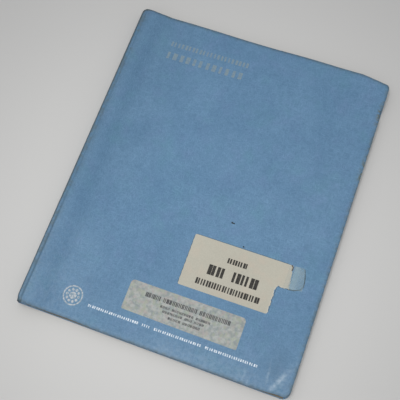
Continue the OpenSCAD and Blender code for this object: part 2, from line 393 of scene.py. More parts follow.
def punched_leaf(mesh, box_low, box_high, height, thickness, shift, wave):
    xs = leaf_lines(box_low[0], box_high[0])
    ys = slot_lines(box_low[1], box_high[1])
    faces = faces_round(lined_grid(mesh, xs, ys))
    punched = []
    for face in faces:
        middle = face.calc_center_median()
        column = min(range(len(ys) - 1), key=lambda i: abs((ys[i] + ys[i + 1]) / 2 - middle.y))
        if abs(middle.x - slot_middle) < slot_depth / 4 and column % 2 == 1:
            punched.append(face)
    bmesh.ops.delete(mesh, geom=punched, context="FACES")
    kept = [face for face in faces if face.is_valid]
    for vert in {vert for face in kept for vert in face.verts}:
        beyond = max(0, vert.co.x - spine_x - ramp_end)
        vert.co.z = height - leaf_fall * fall(vert.co.x, leaf_ramp_start)
        vert.co.y += shift[1]
        vert.co.y = knocked_up(vert.co.x, vert.co.y)
        if beyond > 0:
            vert.co.x += shift[0] + wave * math.sin(vert.co.y * 9 + shift[0] * 9000)
    thicken(mesh, kept, thickness)


# Leaf edges painted far darker than the paper: dirty edges and painted shade under the overhanging
# cover.
page_edges_dirt_and_shade = paper_material("page_edges_dirt_and_shade", (0.30, 0.285, 0.235, 1), (0.19, 0.18, 0.15, 1), 1.4)[0]


def leaf_block(name, node, body, material, count=None, loose=0.22 * mm):
    low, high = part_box(node)
    thickness = high[2] - low[2] - leaf_fall
    count = count or max(1, int(thickness / leaf_pitch))
    pitch = thickness / count
    sheet = min(leaf_thickness, pitch * 0.85) if count > 1 else thickness
    dice = random.Random(name)
    mesh = bmesh.new()
    for i in range(count):
        shift = (dice.uniform(-loose, loose * 0.4), dice.uniform(-loose, loose))
        height = low[2] + leaf_fall + i * pitch + (pitch - sheet) / 2
        punched_leaf(mesh, low, high, height, sheet, shift, loose / 4)
    mesh.normal_update()
    for face in mesh.faces:
        face.material_index = 1 if abs(face.normal.z) < 0.5 else 0
    piece = finished(mesh, name, [material, page_edges_dirt_and_shade], body)
    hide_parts(node)


def print_lines(tree, colour, pitch, left, right, low, high, ink):
    """Rows of grey dashes that pass for text, between margins in x and y."""
    place = add_node(tree, "ShaderNodeTexCoord").outputs["Object"]
    axes = add_node(tree, "ShaderNodeSeparateXYZ", [(0, place)])
    rows = calculate(tree, "PINGPONG", axes.outputs[1], pitch / 2)
    in_row = calculate(tree, "LESS_THAN", rows, pitch * 0.19)
    in_word = calculate(tree, "GREATER_THAN", object_noise(tree, 260, 1, (1, 4.0, 0)), 0.43)
    letters = spread(tree, object_noise(tree, 1500, 2, (1, 0.6, 0)), 0.42, 0.55, 0.15, 1)
    mask = calculate(tree, "MULTIPLY", calculate(tree, "MULTIPLY", in_row, in_word), letters)
    for axis, edge, test in ((0, left, "GREATER_THAN"), (0, right, "LESS_THAN"),
                             (1, low, "GREATER_THAN"), (1, high, "LESS_THAN")):
        inside = calculate(tree, test, axes.outputs[axis], edge)
        mask = calculate(tree, "MULTIPLY", mask, inside)
    return mix_colour(tree, mask, colour, ink)


leaf_low, leaf_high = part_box("circuit_leaves")
book_paper, tree, shader, colour = paper_material(
    "book_paper", (0.80, 0.755, 0.64, 1), (0.73, 0.68, 0.56, 1))
colour = print_lines(tree, colour, 4.4 * mm, leaf_low[0] + 24 * mm, leaf_high[0] - 16 * mm,
                     leaf_low[1] + 20 * mm, leaf_high[1] - 24 * mm, (0.10, 0.10, 0.10, 1))
tree.links.new(colour, shader.inputs["Base Color"])

leaf_block("parts_list_sheets", "parts_list_leaves", "back", book_paper)
for section in ("maintenance", "circuit", "operating", "contents"):
    leaf_block(section + "_sheets", section + "_leaves", section + "_body", book_paper)
leaf_block("title_sheet", "title_leaf", "contents_body", book_paper, 1)

flyleaf_paper = paper_material("flyleaf_paper", (0.74, 0.68, 0.54, 1), (0.66, 0.60, 0.47, 1))[0]
leaf_block("flyleaf_sheet", "flyleaf", "flyleaf_body", flyleaf_paper, 1)


# --------------------------------------------------
# Fold-out sheet. One wide sheet of drafting paper, bound like a leaf and folded
# back at the fore-edge; it carries a plain wiring diagram that opens flat.
drafting_paper = paper_material(
    "drafting_paper", (0.86, 0.82, 0.71, 1), (0.80, 0.76, 0.65, 1), 0.4)[0]
leaf_block("foldout_sheet", "foldout_leaf", "foldout_body", drafting_paper, 1, 0)

panel_low, panel_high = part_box("foldout_panel")
mesh = bmesh.new()
for vert in lined_grid(mesh, even(panel_low[0], panel_high[0], 6),
                       even(panel_low[1], panel_high[1], 16)):
    vert.co.y = knocked_up(vert.co.x, vert.co.y)
    vert.co.z = panel_low[2]
thicken(mesh, mesh.faces[:], panel_high[2] - panel_low[2])
panel = finished(mesh, "foldout_flap", [drafting_paper], "foldout_panel_body")
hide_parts("foldout_panel")


def two_tone_material(name, roughness, scale, dark, light, specular=0.5, start=0.4):
    """Ink or dirt in two close tones."""
    material, tree, shader = new_material(name, roughness, specular)
    tones = spread(tree, object_noise(tree, scale, 3), start, 0.6)
    tree.links.new(mix_colour(tree, tones, dark, light), shader.inputs["Base Color"])
    return material


ink_black = two_tone_material("printing_ink", 0.65, 500, (0.028, 0.028, 0.027, 1),
                              (0.058, 0.055, 0.050, 1), 0.15, 0.35)
ink_film = 0.008 * mm
line_width = 0.35 * mm


def flat_bar(mesh, x, y, width, height, z=0, parts=2):
    """A flat bar whose lower left corner is at x, y."""
    corners = bmesh.ops.create_grid(mesh, x_segments=parts, y_segments=parts, size=0.5)["verts"]
    bmesh.ops.scale(mesh, verts=corners, vec=(width, height, 1))
    bmesh.ops.translate(mesh, verts=corners, vec=(x + width / 2, y + height / 2, z))
    return corners


def ink_bar(mesh, x, y, z, width, height):
    thicken(mesh, faces_round(flat_bar(mesh, x, y, width, height, z, 1)), ink_film)


def ink_ring(mesh, x, y, z, radius, line):
    start = []
    for inward, up in ((0, 0), (line, 0), (line, ink_film), (0, ink_film)):
        start += bmesh.ops.create_vert(mesh, co=(x + radius - inward, y, z + up))["vert"]
    sides = [mesh.edges.new((start[i], start[(i + 1) % 4])) for i in range(4)]
    bmesh.ops.spin(mesh, geom=start + sides, cent=(x, y, z), axis=(0, 0, 1),
                   angle=math.tau, steps=28, use_merge=True)


def wiring_diagram(mesh, left, right, low, high, z, seed):
    """Stages in a row, each a ring between two rails, joined by stepped lines."""
    dice = random.Random(seed)
    pitch = 23 * mm
    rail = pitch * 0.42
    columns = int((right - left) / pitch)
    rows = int((high - low) / (pitch * 1.25))
    spacing = (right - left) / columns
    for row in range(rows):
        y = low + (row + 0.5) * (high - low) / rows
        ink_bar(mesh, left, y + rail, z, right - left, line_width)
        ink_bar(mesh, left, y - rail, z, right - left, line_width)
        for column in range(columns):
            x = left + (column + 0.5) * spacing
            radius = dice.choice((3.4, 4.2)) * mm
            plate = radius * 0.45
            ink_ring(mesh, x, y, z, radius, line_width)
            ink_bar(mesh, x - radius * 0.5, y + plate, z, radius, line_width)
            ink_bar(mesh, x - radius * 0.6, y, z, radius * 1.2, line_width * 0.8)
            ink_bar(mesh, x - line_width / 2, y + plate, z, line_width, rail - plate)
            ink_bar(mesh, x - line_width / 2, y - rail, z, line_width, rail - radius * 0.7)
            part_y = y + pitch * dice.choice((0.26, -0.34))
            ink_bar(mesh, x + radius, part_y, z, 4.5 * mm, 1.5 * mm)
            ink_bar(mesh, x + radius + 6 * mm, part_y, z, 2.4 * mm, 0.8 * mm)
            if column < columns - 1:
                ink_bar(mesh, x + radius, y, z, spacing - 2 * radius, line_width)


sheet_low, sheet_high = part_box("foldout_leaf")
side_margin = 6 * mm
end_margin = 16 * mm
for half, body, left, right, z in (
        ("sheet", "foldout_body", spine_x + ramp_end + side_margin, sheet_high[0] - side_margin,
         sheet_high[2] - leaf_fall),
        ("flap", "foldout_panel_body", panel_low[0] + 8 * mm, panel_high[0] - side_margin,
         panel_low[2] - ink_film)):
    mesh = bmesh.new()
    wiring_diagram(mesh, left, right, sheet_low[1] + end_margin, sheet_high[1] - end_margin, z,
                   half)
    finished(mesh, "diagram_on_" + half, [ink_black], body)


# --------------------------------------------------
# Spine. The narrow panel between the two scored creases; the board was bent
# round the comb while damp, so it keeps a rounded shoulder along its top.
crease = Vector(joints["front_crease"]["pos_m"])
shoulder_radius = math.hypot(crease.x - comb_axis.x, crease.z - comb_axis.z)
crease_angle = math.atan2(crease.z - comb_axis.z, crease.x - comb_axis.x)
crest = comb_axis.z + shoulder_radius
wall_height = comb_axis.z - score_gap
shoulder_arc = shoulder_radius * (math.pi - crease_angle)


def spine_at(along, y, radius):
    if along < wall_height:
        return Vector((comb_axis.x - radius, y, comb_axis.z - wall_height + along))
    angle = math.pi - (along - wall_height) / shoulder_radius
    return Vector((comb_axis.x + radius * math.cos(angle), y,
                   comb_axis.z + radius * math.sin(angle)))


def dent(place, middle, reach):
    return math.exp(-((place - middle) / reach) ** 2)


def hump(x, y, middle_x, middle_y, reach_x, reach_y):
    return dent(x, middle_x, reach_x) * dent(y, middle_y, reach_y)


# In mm from the spine, the head's corner is cut off at a slant and then knocked round. Wear
# at the head and the tail reaches a little way into the cover.
head_slant_from = 203.5
head_knock_from = 225.5
head_knock_width = 2.5
head_knock = 4.5
end_reach = 30 * mm


def worn_edge(x, y):
    """Plan position once worn: the edges wander, the head corner is knocked square."""
    along = (x - spine_x) / mm
    knocked = min(1, max(0, along - head_knock_from) / head_knock_width)
    head_in = 0.10 + 0.40 * ease(along, 65, 100) + 0.10 * math.sin(along * 0.110)
    head_in += 0.6 * dent(along, 108, 28) + 0.15 * max(0, along - head_slant_from)
    head_in += head_knock * (1 - math.sqrt(1 - knocked ** 2))
    tail_in = 0.10 + 0.8 * dent(along, 40, 20) + 0.3 * ease(along, 195, 210)
    tail_in += 0.9 * dent(along, 219, 6) + 0.05 * (1 + math.sin(along * 0.150))
    side_in = 0.04 * (1 + math.sin(y * 370)) + 0.03 * (1 + math.sin(y * 913 + 1))
    side_in += 1.4 * dent(y, head - 31 * mm, 6 * mm)
    head_share = ease(y, head - end_reach, head)
    tail_share = 1 - ease(y, tail, tail + end_reach)
    y += (tail_in * mm + round_in(x)) * tail_share - head_in * mm * head_share
    return x - side_in * mm * ease(x, fore_edge - 20 * mm, fore_edge), y


spine_knock = 4.5 * mm
head_press = 3.1 * mm
tail_press = 2.4 * mm
tail_stub = 1.3 * mm


def crushed(place):
    """Both ends of the spine are pressed down past the comb, and the head end is knocked round."""
    over = min(spine_knock, max(0, spine_x + spine_knock - place.x))
    knock = (spine_knock - math.sqrt(spine_knock ** 2 - over ** 2)) * min(1, place.z / (9 * mm))
    pressed = head_press * ease(place.y, head - 5 * mm, head + 1 * mm)
    pressed += tail_press * (1 - ease(place.y, tail - 1 * mm, tail + 4.5 * mm))
    place.z -= pressed * ease(place.z, 8 * mm, crest)
    place.y -= knock * max(0, (place.y - head) / end_reach + 1)
    stubbed = tail_stub * (1 - ease(place.y, tail, tail + 6 * mm))
    place.x += stubbed * (1 - ease(place.x, spine_x, spine_x + 6 * mm)) * ease(place.z, 0, 4 * mm)
    return place


def spine_outer(along, y):
    dip = 0.06 * mm * near(along - wall_height - shoulder_arc, 0.8 * mm)
    wave = 0.05 * mm * (math.sin(y * 61 + 1.3) * math.sin(along * 700) - 1)
    y = worn_edge(spine_x, y)[1]
    return crushed(spine_at(along, y, shoulder_radius - dip + wave))


def spine_inner(along, y):
    y = worn_edge(spine_x, y)[1]
    return crushed(spine_at(max(along, board_thickness), y, shoulder_radius - board_thickness))


mesh = bmesh.new()
spine_lines = even(0, wall_height, 6)[:-1] + graded(wall_height, wall_height + shoulder_arc, 12)
solid_board(mesh, spine_outer, spine_inner, spine_lines, even(tail, head, 120))
spine = finished(mesh, "spine_board", [pressboard, pressboard_edge], "spine")
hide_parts("spine_cover")


def tail_part(y):
    """1 over the tail end, where thumbs have worn the crease, and 0 above it."""
    return 1 - ease(y, tail + 55 * mm, tail + 110 * mm)


def spine_wear(p):
    strip = 0.60 * near(p.z - 13.1 * mm, 0.85 * mm) * tail_part(p.y)
    return strip + 0.25 * near(p.y - tail, 4 * mm) + 0.3 * near(head - p.y, 4 * mm)


# Painted shade: darker all over, most on the wall below the shoulder and at the crease, and at the
# head end.
def spine_grime(p):
    reach = (12.6 - 0.6 * tail_part(p.y) + 0.3 * ease(p.y, head - 90 * mm, head - 30 * mm)) * mm
    shoulder = 0.70 * (1 - ease(p.z, reach - 1.0 * mm, reach + 0.4 * mm)) * ease(p.z, 0, 9 * mm)
    seam = (0.25 + 0.30 * tail_part(p.y)) * near(p.z - crease.z, 0.3 * mm)
    return 0.12 + 0.07 * tail_part(p.y) + shoulder + seam + 0.5 * near(head - p.y, 3 * mm)


set_values(spine, "wear_and_highlight", spine_wear)
set_values(spine, "dirt_and_shade", spine_grime)
set_values(spine, "stain", lambda p: 0.38 * ease(p.z, 6 * mm, 10 * mm))


# --------------------------------------------------
# Front cover. The panel rises over the comb beside the crease, then falls to
# the leaves; years of handling have waved it, bent its corners and worn them.
cover_ramp_start = 8.5 * mm
flat_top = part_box("type_label")[0][2]
shoulder_part = shoulder_radius * (crease_angle - math.pi / 2)
# The fold across the tail corner: where it starts at the tail, and its run to the fore-edge.
corner_fold_x = spine_x + 210.5 * mm
corner_fold_run = (fore_edge - corner_fold_x, 33 * mm)


def past_corner_fold(x, y):
    """How far a point lies beyond the fold across the tail corner."""
    run_x, run_y = corner_fold_run
    return ((x - corner_fold_x) * run_y - (y - tail) * run_x) / math.hypot(run_x, run_y)


def cover_lift(x, y):
    flat = fall(x, cover_ramp_start)
    inner = min(1, (fore_edge - x) / (45 * mm))
    waves = 0.20 * (1 + math.sin(x * 34 + y * 9 + 0.6)) * (1 + math.sin(y * 27 - x * 13))
    pillow = 0.5 * hump(x, y, 0, 10 * mm, 60 * mm, 90 * mm)
    corner = 8 * max(0, past_corner_fold(x, y))
    ridge = 0.22 * near(past_corner_fold(x, y), 2.2 * mm)
    tail_roll = 0.35 * near(y - tail, 5 * mm)
    return max(0, (waves + pillow) * inner + 0.18 + ridge + corner - tail_roll) * mm * flat


def cover_surface(x, y):
    """Height of the front cover's outer face."""
    height = crest + (flat_top - crest) * fall(x, cover_ramp_start)
    return height + cover_lift(x, y)


def cover_place(along, y):
    if along < shoulder_part:
        angle = crease_angle - along / shoulder_radius
        return comb_axis.x + shoulder_radius * math.cos(angle), worn_edge(spine_x, y)[1]
    return worn_edge(comb_axis.x + along - shoulder_part, y)


def crease_groove(along):
    return 0.08 * mm * near(along, 0.9 * mm)


def cover_outer(along, y):
    x, y = cover_place(along, y)
    if along < shoulder_part:
        angle = crease_angle - along / shoulder_radius
        height = comb_axis.z + shoulder_radius * math.sin(angle)
    else:
        height = cover_surface(x, y)
    return crushed(Vector((x, y, height - crease_groove(along))))


def cover_inner(along, y):
    outer = cover_outer(along, y)
    outer.z += crease_groove(along) - board_thickness
    return outer


mesh = bmesh.new()
panel_end = shoulder_part + fore_edge - comb_axis.x
cover_lines = []
for line_from, line_to, steps in ((0, shoulder_part, 4),
                                  (shoulder_part, shoulder_part + 24 * mm, 22),
                                  (shoulder_part + 24 * mm, panel_end - 50 * mm, 92),
                                  (panel_end - 50 * mm, panel_end - rim, 60)):
    cover_lines += even(line_from, line_to, steps)[:-1]
cover_lines += graded(panel_end - rim, panel_end, 12)
cover_ys = graded(tail, tail + rim, 14)[:-1] + even(tail + rim, tail + 34 * mm, 22)[:-1]
cover_ys += even(tail + 34 * mm, head - rim, 136)[:-1] + graded(head - rim, head, 10)
solid_board(mesh, cover_outer, cover_inner, cover_lines, cover_ys)
front = finished(mesh, "front_board", [pressboard, pressboard_edge], "front")
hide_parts("front_cover")


cover_rubs = (
    # mm from the spine and up from the tail, half width and height, slant, depth
    (221, 8, 9, 10, 0, 0.22), (127, 4, 12, 5, 0, 0.30),
    (165, 6, 45, 9, 0, 0.27), (205, 165.25, 35, 60, 0, 0.05),
    (207.6, 12.5, 0.8, 8.5, 0.09, 0.65), (190.2, 6.0, 0.8, 4.5, 0.09, 0.75),
    (186.0, 5.0, 1.5, 3.2, 0.09, 0.40), (194.2, 3.5, 0.7, 2.6, 0.09, 0.60),
)


# Lightens worn places; the fold across the tail corner is whitened fibres under a painted
# highlight.
def cover_wear(p):
    x, y = (p.x - spine_x) / mm, (p.y - tail) / mm
    along_fold = math.hypot(p.x - corner_fold_x, p.y - tail)
    across = past_corner_fold(p.x, p.y)
    fold = 1.3 * near(across, 1.9 * mm) * near(along_fold - 11.5 * mm, 15 * mm)
    fold += 0.55 * near(across - 0.6 * mm, 4.6 * mm) * near(along_fold - 16 * mm, 26 * mm)
    rubbed = 0.25 * near(y, 6) + 0.10 * (1 - ease(y, 10, 60))
    for middle_x, middle_y, reach_x, reach_y, slant, depth in cover_rubs:
        rubbed += depth * hump(x + slant * (y - middle_y), y, middle_x, middle_y, reach_x, reach_y)
    # Painted highlight: a light line beside the crease over the tail end.
    rubbed += 0.35 * near(p.x - crease.x - 2.2 * mm, 1.0 * mm) * tail_part(p.y)
    rubbed += 0.12 * (1 - ease(x, 25, 75)) * tail_part(p.y)
    return fold + 0.72 * rubbed


def head_gap(p):
    """Millimetres from the worn edge at the head."""
    return (worn_edge(p.x, head)[1] - p.y) / mm


# Darkens the cover: painted shade at the crease seam, along the edges and beside the corner fold.
def cover_grime(p):
    x, y = (p.x - spine_x) / mm, (p.y - tail) / mm
    from_crease = (p.x - crease.x) / mm
    from_fore_edge = (fore_edge - p.x) / mm
    from_tail_edge = (p.y - worn_edge(p.x, tail)[1]) / mm
    seam = (0.15 + 0.38 * tail_part(p.y)) * near(from_crease - 0.3, 1.0)
    edges = 0.50 * near(head_gap(p) - 0.4, 2.0) + 0.38 * near(from_tail_edge - 0.4, 1.8)
    edges += 0.35 * near(from_fore_edge - 0.3, 2.2)
    turned = 0.5 * near(from_fore_edge, 4) * near(y, 9)
    # Also darker near the tail, towards the spine, beside the crease and along the head and
    # fore-edge.
    broad_darkening = 0.045 * (1 - ease(y, 40, 110)) + 0.075 * (1 - ease(x, 30, 80)) * ease(y, 60, 130)
    broad_darkening += 0.11 * (1 - ease(from_crease, 1, 8)) * (1 - 0.6 * tail_part(p.y))
    broad_darkening += 0.10 * near(head_gap(p), 4.5) + 0.08 * near(from_fore_edge, 4.5)
    return seam + edges + turned + broad_darkening + 0.12 * hump(x, y, 212, 21, 6, 12)


def cover_stain(p):
    from_fore_edge, from_head = (fore_edge - p.x) / mm, (head - p.y) / mm
    rim = 0.55 * near(from_fore_edge, 4) + 0.35 * near(head_gap(p), 4)
    rim += 0.4 * near(p.y - tail, 4 * mm) + 0.25 * near(p.x - crease.x, 5 * mm)
    spots = 0.8 * hump(from_fore_edge, from_head, 2, 32, 1.8, 8)
    return rim + spots + 0.7 * hump(from_fore_edge, from_head, 1, 85, 1.6, 12)


set_values(front, "wear_and_highlight", cover_wear)
set_values(front, "dirt_and_shade", cover_grime)
set_values(front, "stain", cover_stain)


# --------------------------------------------------
# Stamped foil. Heading, footer and a round ornament were hot-stamped into the
# board; the heading and the ornament have rubbed dull, the footer is still bright.
foil_thickness = 0.02 * mm
foil_lift = 0.005 * mm


def foil_material(name, colour, worn, roughness):
    material, tree, shader = new_material(name, roughness)
    rubbed = spread(tree, object_noise(tree, 620, 4), 0.40, 0.62)
    tree.links.new(mix_colour(tree, rubbed, colour, worn), shader.inputs["Base Color"])
    bump(tree, shader, object_noise(tree, 1500, 3), 0.05 * mm, 0.5)
    return material


dull_foil = foil_material("dull_foil", (0.200, 0.280, 0.322, 1), (0.148, 0.242, 0.333, 1), 0.5)
bright_foil = foil_material("bright_foil", (0.74, 0.81, 0.88, 1), (0.34, 0.45, 0.55, 1), 0.4)
grey_foil = foil_material("rubbed_foil", (0.46, 0.50, 0.53, 1), (0.18, 0.27, 0.35, 1), 0.45)


def on_cover(mesh, height, thickness):
    """Lays flat faces on the front cover and gives them a thickness."""
    for vert in mesh.verts:
        vert.co.z = cover_surface(vert.co.x, vert.co.y) + height
    thicken(mesh, mesh.faces[:], thickness)


def bar_row(mesh, x, y, width, height, groups, seed, stroke):
    """Groups of upright bars of uneven widths, two to each step of the row."""
    dice = random.Random(seed)
    step = width / (sum(groups) + 0.8 * (len(groups) - 1))
    for count in groups:
        for i in range(count):
            for part in (0.04, 0.50):
                flat_bar(mesh, x + part * step, y, step * stroke * dice.uniform(0.7, 1.3), height)
            x += step
        x += step * 0.8


def foil_line(name, node, material, groups, stroke):
    low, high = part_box(node)
    mesh = bmesh.new()
    bar_row(mesh, low[0], low[1], high[0] - low[0], high[1] - low[1], groups, name, stroke)
    on_cover(mesh, foil_lift, foil_thickness)
    piece = finished(mesh, name, [material], "front")
    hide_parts(node)


foil_line("heading_upper", "heading_foil_upper", dull_foil, (11,), 0.24)
foil_line("heading_lower", "heading_foil_lower", dull_foil, (6,), 0.24)
foil_line("footer_line", "footer_foil", bright_foil, (12, 2, 11, 12), 0.28)

ornament_low, ornament_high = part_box("ornament_foil")
ornament_x = (ornament_low[0] + ornament_high[0]) / 2
ornament_y = (ornament_low[1] + ornament_high[1]) / 2
ornament_radius = (ornament_high[0] - ornament_low[0]) / 2


def flat_disc(mesh, x, y, radius, segments=24):
    verts = bmesh.ops.create_circle(mesh, cap_ends=True, radius=radius, segments=segments)["verts"]
    bmesh.ops.translate(mesh, verts=verts, vec=(x, y, 0))


def flat_ring(mesh, x, y, radius, line, segments=40):
    loops = []
    for size in (radius, radius - line):
        circle = bmesh.ops.create_circle(mesh, radius=size, segments=segments)["verts"]
        bmesh.ops.translate(mesh, verts=circle, vec=(x, y, 0))
        loops += dict.fromkeys(edge for vert in circle for edge in vert.link_edges)
    bmesh.ops.bridge_loops(mesh, edges=loops)


small_discs = 10
small_disc_circle = 4.9 * mm
mesh = bmesh.new()
flat_ring(mesh, ornament_x, ornament_y, ornament_radius, 1.1 * mm)
flat_disc(mesh, ornament_x, ornament_y, 3 * mm)
for i in range(small_discs):
    angle = math.tau * i / small_discs
    flat_disc(mesh, ornament_x + small_disc_circle * math.cos(angle),
              ornament_y + small_disc_circle * math.sin(angle), 1.2 * mm, 12)
on_cover(mesh, foil_lift, foil_thickness)
ornament = finished(mesh, "round_ornament", [grey_foil], "front")
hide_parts("ornament_foil")


# --------------------------------------------------
# Type label. Cream gummed paper with a scalloped left edge; its lower right
# corner was torn off long ago and left a stepped arm. The rows are plain bars.
label_cream, tree, shader, colour = paper_material(
    "label_paper", (0.508, 0.492, 0.418, 1), (0.456, 0.442, 0.376, 1), 0.35)
stain = spread(tree, object_noise(tree, 95, 3, turn=1.1), 0.50, 0.72, 0, 0.35)
colour = mix_colour(tree, stain, colour, (0.560, 0.470, 0.390, 1))
torn = painted(tree, "torn")
colour = mix_colour(tree, torn, colour, (0.640, 0.620, 0.540, 1))
tree.links.new(colour, shader.inputs["Base Color"])

label_low, label_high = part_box("type_label")
tape_low, tape_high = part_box("label_tape")
label_thickness = 0.1 * mm
print_lift = 0.003 * mm
arm_width = 9.5 * mm
arm_height = 19.5 * mm
arm_left = label_high[0] - arm_width
arm_bottom = label_high[1] - arm_height
label_corner = 1.6 * mm
label_turn = Matrix.Rotation(math.radians(0.45), 4, "Z")
label_middle = Vector(((label_low[0] + label_high[0]) / 2, (label_low[1] + label_high[1]) / 2, 0))


def turn_with_label(mesh):
    """The label and its tape were put on slightly askew."""
    turned = Matrix.Translation(label_middle) @ label_turn @ Matrix.Translation(-label_middle)
    bmesh.ops.transform(mesh, verts=mesh.verts[:], matrix=turned)


def soften_corner(vert, low, high, radius, corners):
    """Pulls a point in where it would lie outside a rounded corner."""
    for corner_x, corner_y in corners:
        middle_x = low[0] + radius if corner_x < 0 else high[0] - radius
        middle_y = low[1] + radius if corner_y < 0 else high[1] - radius
        out_x = (vert.co.x - middle_x) * corner_x
        out_y = (vert.co.y - middle_y) * corner_y
        reach = math.hypot(out_x, out_y)
        if out_x > 0 and out_y > 0 and reach > radius:
            vert.co.x = middle_x + out_x * corner_x * radius / reach
            vert.co.y = middle_y + out_y * corner_y * radius / reach
            return


def tear(place):
    """A torn edge that wanders without repeating."""
    return (0.30 * math.sin(place * 900) + 0.18 * math.sin(place * 2300 + 1)) * mm


mesh = bmesh.new()
label_xs = even(label_low[0], arm_left, 90)[:-1] + even(arm_left, label_high[0], 12)
label_ys = even(label_low[1], arm_bottom, 36)[:-1] + even(arm_bottom, label_high[1], 28)
lined_grid(mesh, label_xs, label_ys)
missing = [face for face in mesh.faces if face.calc_center_median().x > arm_left
           and face.calc_center_median().y < arm_bottom]
bmesh.ops.delete(mesh, geom=missing, context="FACES")
tiny = 0.01 * mm
for vert in mesh.verts:
    x, y = vert.co.x, vert.co.y
    if x < label_low[0] + tiny:
        vert.co.x += 0.30 * mm * abs(math.sin((y - label_low[1]) * math.pi / (5.4 * mm)))
    if abs(x - arm_left) < tiny and y < arm_bottom + tiny:
        vert.co.x += tear(y) + 1.2 * mm * near(y - arm_bottom, 2.5 * mm)
    if abs(y - arm_bottom) < tiny and x > arm_left + tiny:
        vert.co.y += tear(x)
    if x > arm_left:
        slant = 1.0 * mm - 2.6 * mm * (y - arm_bottom) / arm_height
        vert.co.x += (slant + 0.5 * tear(y)) * (x - arm_left) / arm_width
    if y < arm_bottom:
        soften_corner(vert, label_low, (arm_left, label_high[1]), label_corner, ((1, -1),))
    soften_corner(vert, label_low, label_high, label_corner, ((-1, -1), (-1, 1)))
turn_with_label(mesh)
on_cover(mesh, 0.0, label_thickness)
label = finished(mesh, "type_label_paper", [label_cream], "front")
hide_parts("type_label")
set_values(label, "torn", lambda p: near(p.x - arm_left, 0.9 * mm) * (p.y < arm_bottom + 0.5 * mm)
           + near(p.y - arm_bottom, 0.9 * mm) * (p.x > arm_left - 0.5 * mm))


def printed_rows(mesh, corner, name, rows):
    """Rows of bars: start and foot from the lower left corner in mm, length, height, groups
    of letters, stroke."""
    for i, (start, foot, length, height, groups, stroke) in enumerate(rows):
        bar_row(mesh, corner[0] + start * mm, corner[1] + foot * mm, length * mm, height * mm,
                groups, name + str(i), stroke)


mesh = bmesh.new()
printed_rows(mesh, label_low, "label", ((31.7, 28.6, 17.4, 4.3, (4,), 0.31),
                                        (19.0, 15.0, 42.5, 8.4, (2, 3), 0.345),
                                        (12.7, 5.1, 53.6, 5.0, (12,), 0.325)))
turn_with_label(mesh)
on_cover(mesh, label_thickness + print_lift, ink_film)
finished(mesh, "type_label_print", [ink_black], "front")


# --------------------------------------------------
# Tape. A patch of clear film tape holds the end of the label's arm down; it
# has gone slightly hazy, and the cover beside its lower and right edges is painted with its
# shadow.
tape_film, tree, shader = new_material("clear_tape", 0.30, 0.3)
clouds = spread(tree, object_noise(tree, 150, 3), 0.35, 0.65)
colour = mix_colour(tree, clouds, (0.300, 0.470, 0.575, 1), (0.400, 0.545, 0.625, 1))
tree.links.new(colour, shader.inputs["Base Color"])
tree.links.new(painted(tree, "haze"), shader.inputs["Alpha"])
bump(tree, shader, object_noise(tree, 160, 2), 0.05 * mm, 0.4)
edge_lines_dirt_and_shadow = two_tone_material("edge_lines_dirt_and_shadow", 0.7, 700, (0.040, 0.070, 0.085, 1),
                              (0.090, 0.140, 0.170, 1))
gum_brown = two_tone_material("old_gum", 0.7, 900, (0.070, 0.060, 0.050, 1),
                              (0.160, 0.130, 0.095, 1))

tape_thickness = 0.06 * mm
mark_thickness = 0.02 * mm
mark_lift = 0.002 * mm


def tape_height(x):
    """The tape lies on the label first and steps down to the cover past its end."""
    past = min(1, max(0, (x - label_high[0]) / (0.8 * mm)))
    return label_thickness * (1 - past) + 0.01 * mm


mesh = bmesh.new()
lined_grid(mesh, even(tape_low[0], tape_high[0], 36), even(tape_low[1], tape_high[1], 24))
for vert in mesh.verts:
    along = (vert.co.x - tape_low[0]) / (tape_high[0] - tape_low[0])
    up = (vert.co.y - tape_low[1]) / (tape_high[1] - tape_low[1])
    vert.co.x += (1.0 - 3.0 * up + 2.4 * up * (1 - up)) * along * mm
    vert.co.y += ((2.2 - 1.6 * up) * along - 0.4 * (1 - up)) * mm
turn_with_label(mesh)
for vert in mesh.verts:
    vert.co.z = cover_surface(vert.co.x, vert.co.y) + tape_height(vert.co.x)
thicken(mesh, mesh.faces[:], tape_thickness)
tape = finished(mesh, "tape_patch", [tape_film], "front")
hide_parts("label_tape")
set_values(tape, "haze", lambda p: 0.03 + 0.43 * ease(p.x - label_high[0], -1 * mm, 1 * mm)
           - 0.18 * ease(p.x - label_high[0], 3 * mm, 7 * mm))


def dirt_line(mesh, points, width):
    """A thin dark line through the given points, in mm from the label's lower left."""
    for (x0, y0), (x1, y1) in zip(points, points[1:]):
        length = math.hypot(x1 - x0, y1 - y0)
        corners = bmesh.ops.create_grid(mesh, x_segments=3, y_segments=1, size=0.5)["verts"]
        bmesh.ops.scale(mesh, verts=corners, vec=((length + width / 2) * mm, width * mm, 1))
        turn = Matrix.Rotation(math.atan2(y1 - y0, x1 - x0), 3, "Z")
        bmesh.ops.rotate(mesh, verts=corners, matrix=turn)
        bmesh.ops.translate(mesh, verts=corners, vec=(label_low[0] + (x0 + x1) / 2 * mm,
                                                      label_low[1] + (y0 + y1) / 2 * mm, 0))


mesh = bmesh.new()
# Painted shadow along the tape's lower and right edges.
dirt_line(mesh, [(84.1, 24.0), (88.5, 24.4), (93.4, 26.6), (94.9, 29.2), (94.9, 33.0),
                 (94.0, 37.4), (92.2, 43.2)], 0.8)
# Dirt along the label's top and left edges.
dirt_line(mesh, [(1.4, 43.7), (20, 43.7), (48, 43.75), (80, 43.7)], 0.30)
dirt_line(mesh, [(-0.1, 42.0), (0.0, 28), (-0.1, 12), (0.0, 1.5)], 0.30)
